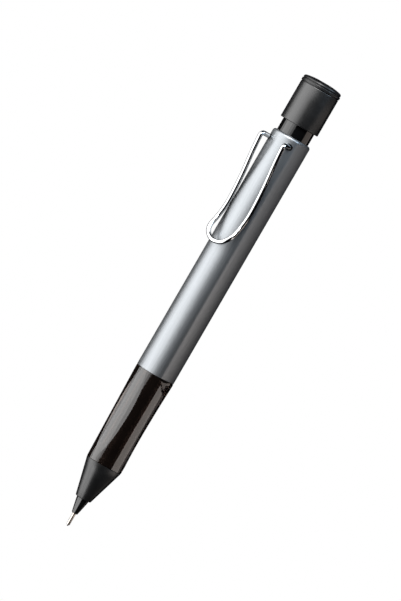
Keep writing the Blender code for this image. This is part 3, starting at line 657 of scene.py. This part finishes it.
def button_ring(material):
    low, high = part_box("button_ring")
    radius, floor, gap = high.x, BUTTON_RADIUS - RING_GROOVE_DEPTH, RING_GROOVE
    edge = 0.2 * MM
    outline = [(RING_BORE, low.z), (floor, low.z), (floor, low.z + gap),
               (radius - edge, low.z + gap)]
    outline += arc((radius - edge, low.z + gap + edge), edge, -90, 0, 5)[1:]
    outline += arc((radius - edge, high.z - gap - edge), edge, 0, 90, 5)
    outline += [(floor, high.z - gap), (floor, high.z), (RING_BORE, high.z)]
    return ride(turned("button_band", outline, material), "cap", "satin_button_ring",
                "button_ring")


def button_disc(material):
    low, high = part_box("button_end_disc")
    radius, base, bevel = high.x, low.z + BUTTON_SOCKET, 0.1 * MM
    outline = [(0, low.z), (DISC_PEG, low.z), (DISC_PEG, base), (radius - bevel, base),
               (radius, base + bevel)]
    outline += arc((radius - DISC_EDGE, high.z - DISC_DOME - DISC_EDGE), DISC_EDGE, 0, 78, 8)
    shoulder, flat = outline[-1], 0.25 * radius
    for share in (0.2, 0.4, 0.6, 0.8):
        outline.append((mix(shoulder[0], flat, share),
                        mix(high.z, shoulder[1], (1 - share) ** 2)))
    outline += [(flat, high.z), (0, high.z)]
    return ride(turned("button_end", outline, material), "cap", "satin_button_end",
                "button_end_disc")


# ---- clip ---------------------------------------------------------------------------------------
def clip_height(below):
    stations = [(distance * MM, lift * MM) for distance, lift in CLIP_SHAPE]
    return CLIP_TOUCH + smooth_value(stations, below)


def clip_arm_top():
    return Vector((CLIP_HALF_WIDTH, -clip_height(CLIP_BEND), CLIP_HOLE_Z))


def clip_entry():
    """The mouth of the hole on the +X side, and the direction in which it is drilled."""
    depth = math.sqrt(BARREL_RADIUS ** 2 - CLIP_HOLE_X ** 2)
    mouth = Vector((CLIP_HOLE_X, -depth, CLIP_HOLE_Z))
    return mouth, (mouth - clip_arm_top()).normalized()


def clip_half_path():
    mouth, inward = clip_entry()
    path = [mouth + inward * CLIP_STUB_DEPTH]
    for turn in spread(0, math.pi / 2, 20):
        past = inward * CLIP_BEND * (1 - math.sin(turn))
        path.append(clip_arm_top() + past - UP * CLIP_BEND * (1 - math.cos(turn)))
    for below in spread(CLIP_BEND, CLIP_LOOP_START, 90)[1:]:
        path.append(Vector((CLIP_HALF_WIDTH, -clip_height(below), CLIP_HOLE_Z - below)))
    for turn in spread(0, math.pi / 2, 30)[1:]:
        below = CLIP_LOOP_START + CLIP_HALF_WIDTH * math.sin(turn)
        path.append(Vector((CLIP_HALF_WIDTH * math.cos(turn), -clip_height(below),
                            CLIP_HOLE_Z - below)))
    return path


def clip(material):
    half = clip_half_path()
    points = half + [Vector((-p.x, p.y, p.z)) for p in reversed(half[:-1])]
    rings = []
    side = Vector((1, 0, 0))
    for i, point in enumerate(points):
        along = (points[min(i + 1, len(points) - 1)] - points[max(i - 1, 0)]).normalized()
        side = (side - along * side.dot(along)).normalized()
        up = along.cross(side)
        rings.append([point + (side * math.cos(a) + up * math.sin(a)) * CLIP_WIRE
                      for a in spread(0, 2 * math.pi, 32)[:-1]])
    piece = skin("clip_loop", rings, material, closed=False)
    return ride(piece, "clip", "chrome_wire", "clip_wire")


# ---- stage --------------------------------------------------------------------------------------
def emitter(name, color, strength):
    material = bpy.data.materials.new(name)
    material.use_nodes = True
    tree = material.node_tree
    tree.nodes.remove(tree.nodes["Principled BSDF"])
    glow = tree.nodes.new("ShaderNodeEmission")
    glow.inputs["Color"].default_value = (*color, 1)
    glow.inputs["Strength"].default_value = strength
    tree.links.new(glow.outputs["Emission"], tree.nodes["Material Output"].inputs["Surface"])
    return material


def floor():
    bm = bmesh.new()
    bmesh.ops.create_grid(bm, x_segments=2, y_segments=2, size=6.0)
    bmesh.ops.translate(bm, verts=bm.verts, vec=(0, 0, -1.0 * MM))
    plane = finish_mesh(bm, "floor", emitter("pale_floor", (1, 1, 1), 1.0))
    for kind in ("diffuse", "glossy", "transmission", "volume_scatter", "shadow"):
        setattr(plane, "visible_" + kind, False)


def panel(name, start, end, low, high, radiance, color=(1, 1, 1), distance=0.6):
    """A flat soft light that fills the directions from start to end, in degrees.

    Angles run round the pencil from the camera's direction, positive to the frame's right.
    """
    a, b = math.radians(start), math.radians(end)
    middle = (a + b) / 2
    towards = TOWARDS_CAMERA * math.cos(middle) + FRAME_RIGHT * math.sin(middle)
    width = 2 * distance * math.tan((b - a) / 2)
    height = high - low
    light = bpy.data.lights.new(name, "AREA")
    light.shape = "RECTANGLE"
    light.size, light.size_y = width, height
    light.color = color
    light.energy = radiance * math.pi * width * height
    lamp = bpy.data.objects.new(name, light)
    bpy.context.scene.collection.objects.link(lamp)
    lamp.location = towards * distance + UP * (low + high) / 2
    side = UP.cross(towards)
    lamp.rotation_mode = "QUATERNION"
    lamp.rotation_quaternion = Matrix((side, UP, towards)).transposed().to_quaternion()
    lamp.visible_camera = False
    return lamp


def lights():
    panel("key_far", -108, -90, -0.6, 0.7, 2.4)
    panel("key_hot", -90, -64, -0.6, 0.7, 4.3)
    panel("key_mid", -64, -44, -0.6, 0.7, 4.1)
    panel("key_near", -44, -28, -0.6, 0.7, 2.8)
    panel("key_edge", -28, -15, -0.6, 0.7, 1.5)
    panel("key_high", -36, -2, 0.42, 1.20, 20.0)
    panel("key_low", -42, -8, -0.95, -0.25, 2.8)
    panel("sky_blue", 46, 82, 0.40, 1.10, 6.5, (0.66, 0.83, 1.0))
    panel("sky_front", 4, 34, 0.50, 1.20, 4.0, (0.66, 0.84, 1.0))
    panel("fill_grip", 58, 98, -0.14, 0.018, 1.8, (1.0, 0.91, 0.85))
    panel("fill_grip_far", 98, 116, -0.30, 0.018, 0.4, (1.0, 0.90, 0.84))
    panel("fill_neck", 68, 98, 0.115, 0.17, 1.15, (1.0, 0.87, 0.78))
    panel("fill_neck_far", 98, 122, 0.115, 0.17, 0.9, (1.0, 0.87, 0.80))


def world():
    scene_world = bpy.data.worlds.new("studio")
    bpy.context.scene.world = scene_world
    scene_world.use_nodes = True
    tree = scene_world.node_tree
    shade = tree.nodes["Background"]
    shade.inputs["Color"].default_value = (0.004, 0.004, 0.005, 1)
    seen = tree.nodes.new("ShaderNodeBackground")
    seen.inputs["Color"].default_value = (1, 1, 1, 1)
    path = tree.nodes.new("ShaderNodeLightPath")
    blend = tree.nodes.new("ShaderNodeMixShader")
    tree.links.new(path.outputs["Is Camera Ray"], blend.inputs[0])
    tree.links.new(shade.outputs[0], blend.inputs[1])
    tree.links.new(seen.outputs[0], blend.inputs[2])
    tree.links.new(blend.outputs[0], tree.nodes["World Output"].inputs["Surface"])


def camera():
    bpy.context.scene.view_settings.view_transform = "Standard"
    data = bpy.data.cameras.new("camera")
    data.lens = CAMERA_LENS
    data.clip_start, data.clip_end = 0.05, 50
    cam = bpy.data.objects.new("camera", data)
    bpy.context.scene.collection.objects.link(cam)
    bpy.context.scene.camera = cam
    aim = UP * AIM_HEIGHT + FRAME_RIGHT * AIM_RIGHT
    rise = math.asin((CAMERA_HEIGHT - AIM_HEIGHT) / CAMERA_DISTANCE)
    back = TOWARDS_CAMERA * math.cos(rise) + UP * math.sin(rise)
    above = back.cross(FRAME_RIGHT)
    right = above * math.sin(CAMERA_LEAN) + FRAME_RIGHT * math.cos(CAMERA_LEAN)
    up = above * math.cos(CAMERA_LEAN) - FRAME_RIGHT * math.sin(CAMERA_LEAN)
    cam.location = aim + back * CAMERA_DISTANCE
    cam.rotation_mode = "QUATERNION"
    cam.rotation_quaternion = Matrix((right, up, back)).transposed().to_quaternion()


# ---- the whole picture --------------------------------------------------------------------------
def dress(node, material):
    """Give a CAD node that shows its own mesh a material."""
    obj = frame["nodes"][node]
    obj.data.materials.clear()
    obj.data.materials.append(material)


def main():
    graphite = soft("graphite", (0.035, 0.035, 0.038), (0.06, 0.06, 0.064), 0.42, 9000, 0.004)
    steel = metal("bright_steel", (0.50, 0.49, 0.47), (0.60, 0.59, 0.57), 0.22)
    pipe_steel = metal("sleeve_steel", (0.42, 0.38, 0.34), (0.52, 0.48, 0.44), 0.16)
    brass = metal("brass", (0.62, 0.46, 0.20), (0.70, 0.53, 0.26), 0.25)
    moulded = soft("grey_moulded", (0.14, 0.14, 0.15), (0.18, 0.18, 0.19), 0.4)
    dark = soft("dark_moulded", (0.02, 0.019, 0.018), (0.03, 0.029, 0.028), 0.3)
    rubber = soft("rubber", (0.025, 0.025, 0.025), (0.04, 0.04, 0.04), 0.85)
    white = soft("white_rubber", (0.76, 0.76, 0.73), (0.82, 0.82, 0.79), 0.85)

    barrel(anodised("anodised_barrel"))
    grip(smoke("smoky_grip"))
    nose(black_plastic("nose_black", 0.32, 0.004, 0.004))
    tip(black_plastic("tip_gloss", 0.09, 0.002, 0.001))
    lead_sleeve(pipe_steel)
    lead(graphite)
    spring(steel)
    neck(black_plastic("neck_gloss", 0.08, 0.0015, 0.001))
    button_shell(black_plastic("button_black", 0.31, 0.004, 0.006, 1.6))
    button_ring(black_plastic("band_black", 0.3, 0.006, 0.004, 1.4))
    button_disc(black_plastic("disc_black", 0.3, 0.006, 0.004, 1.36))
    clip(chrome("chrome_wire"))
    # near-black painted shade inside the clip holes, standing in for the shade of their depth
    shadow = soft("painted_hole_shade", (0.004, 0.004, 0.004), (0.008, 0.008, 0.008), 0.6)
    for sign in (-1, 1):
        hole_shade_sheet(sign, shadow)

    for node, material in (("barrel_insert", brass), ("chuck_body", brass),
                           ("chuck_jaw_1", brass), ("chuck_jaw_2", brass),
                           ("chuck_jaw_3", brass), ("clutch_ring", steel),
                           ("cleaning_pin", steel), ("eraser_holder", steel),
                           ("eraser", white),
                           ("spare_lead_1", graphite), ("spare_lead_2", graphite),
                           ("lead_retainer", rubber), ("mechanism_sleeve", dark),
                           ("chuck_connector", moulded), ("lead_reservoir", moulded)):
        dress(node, material)

    floor()
    lights()
    world()
    camera()


main()
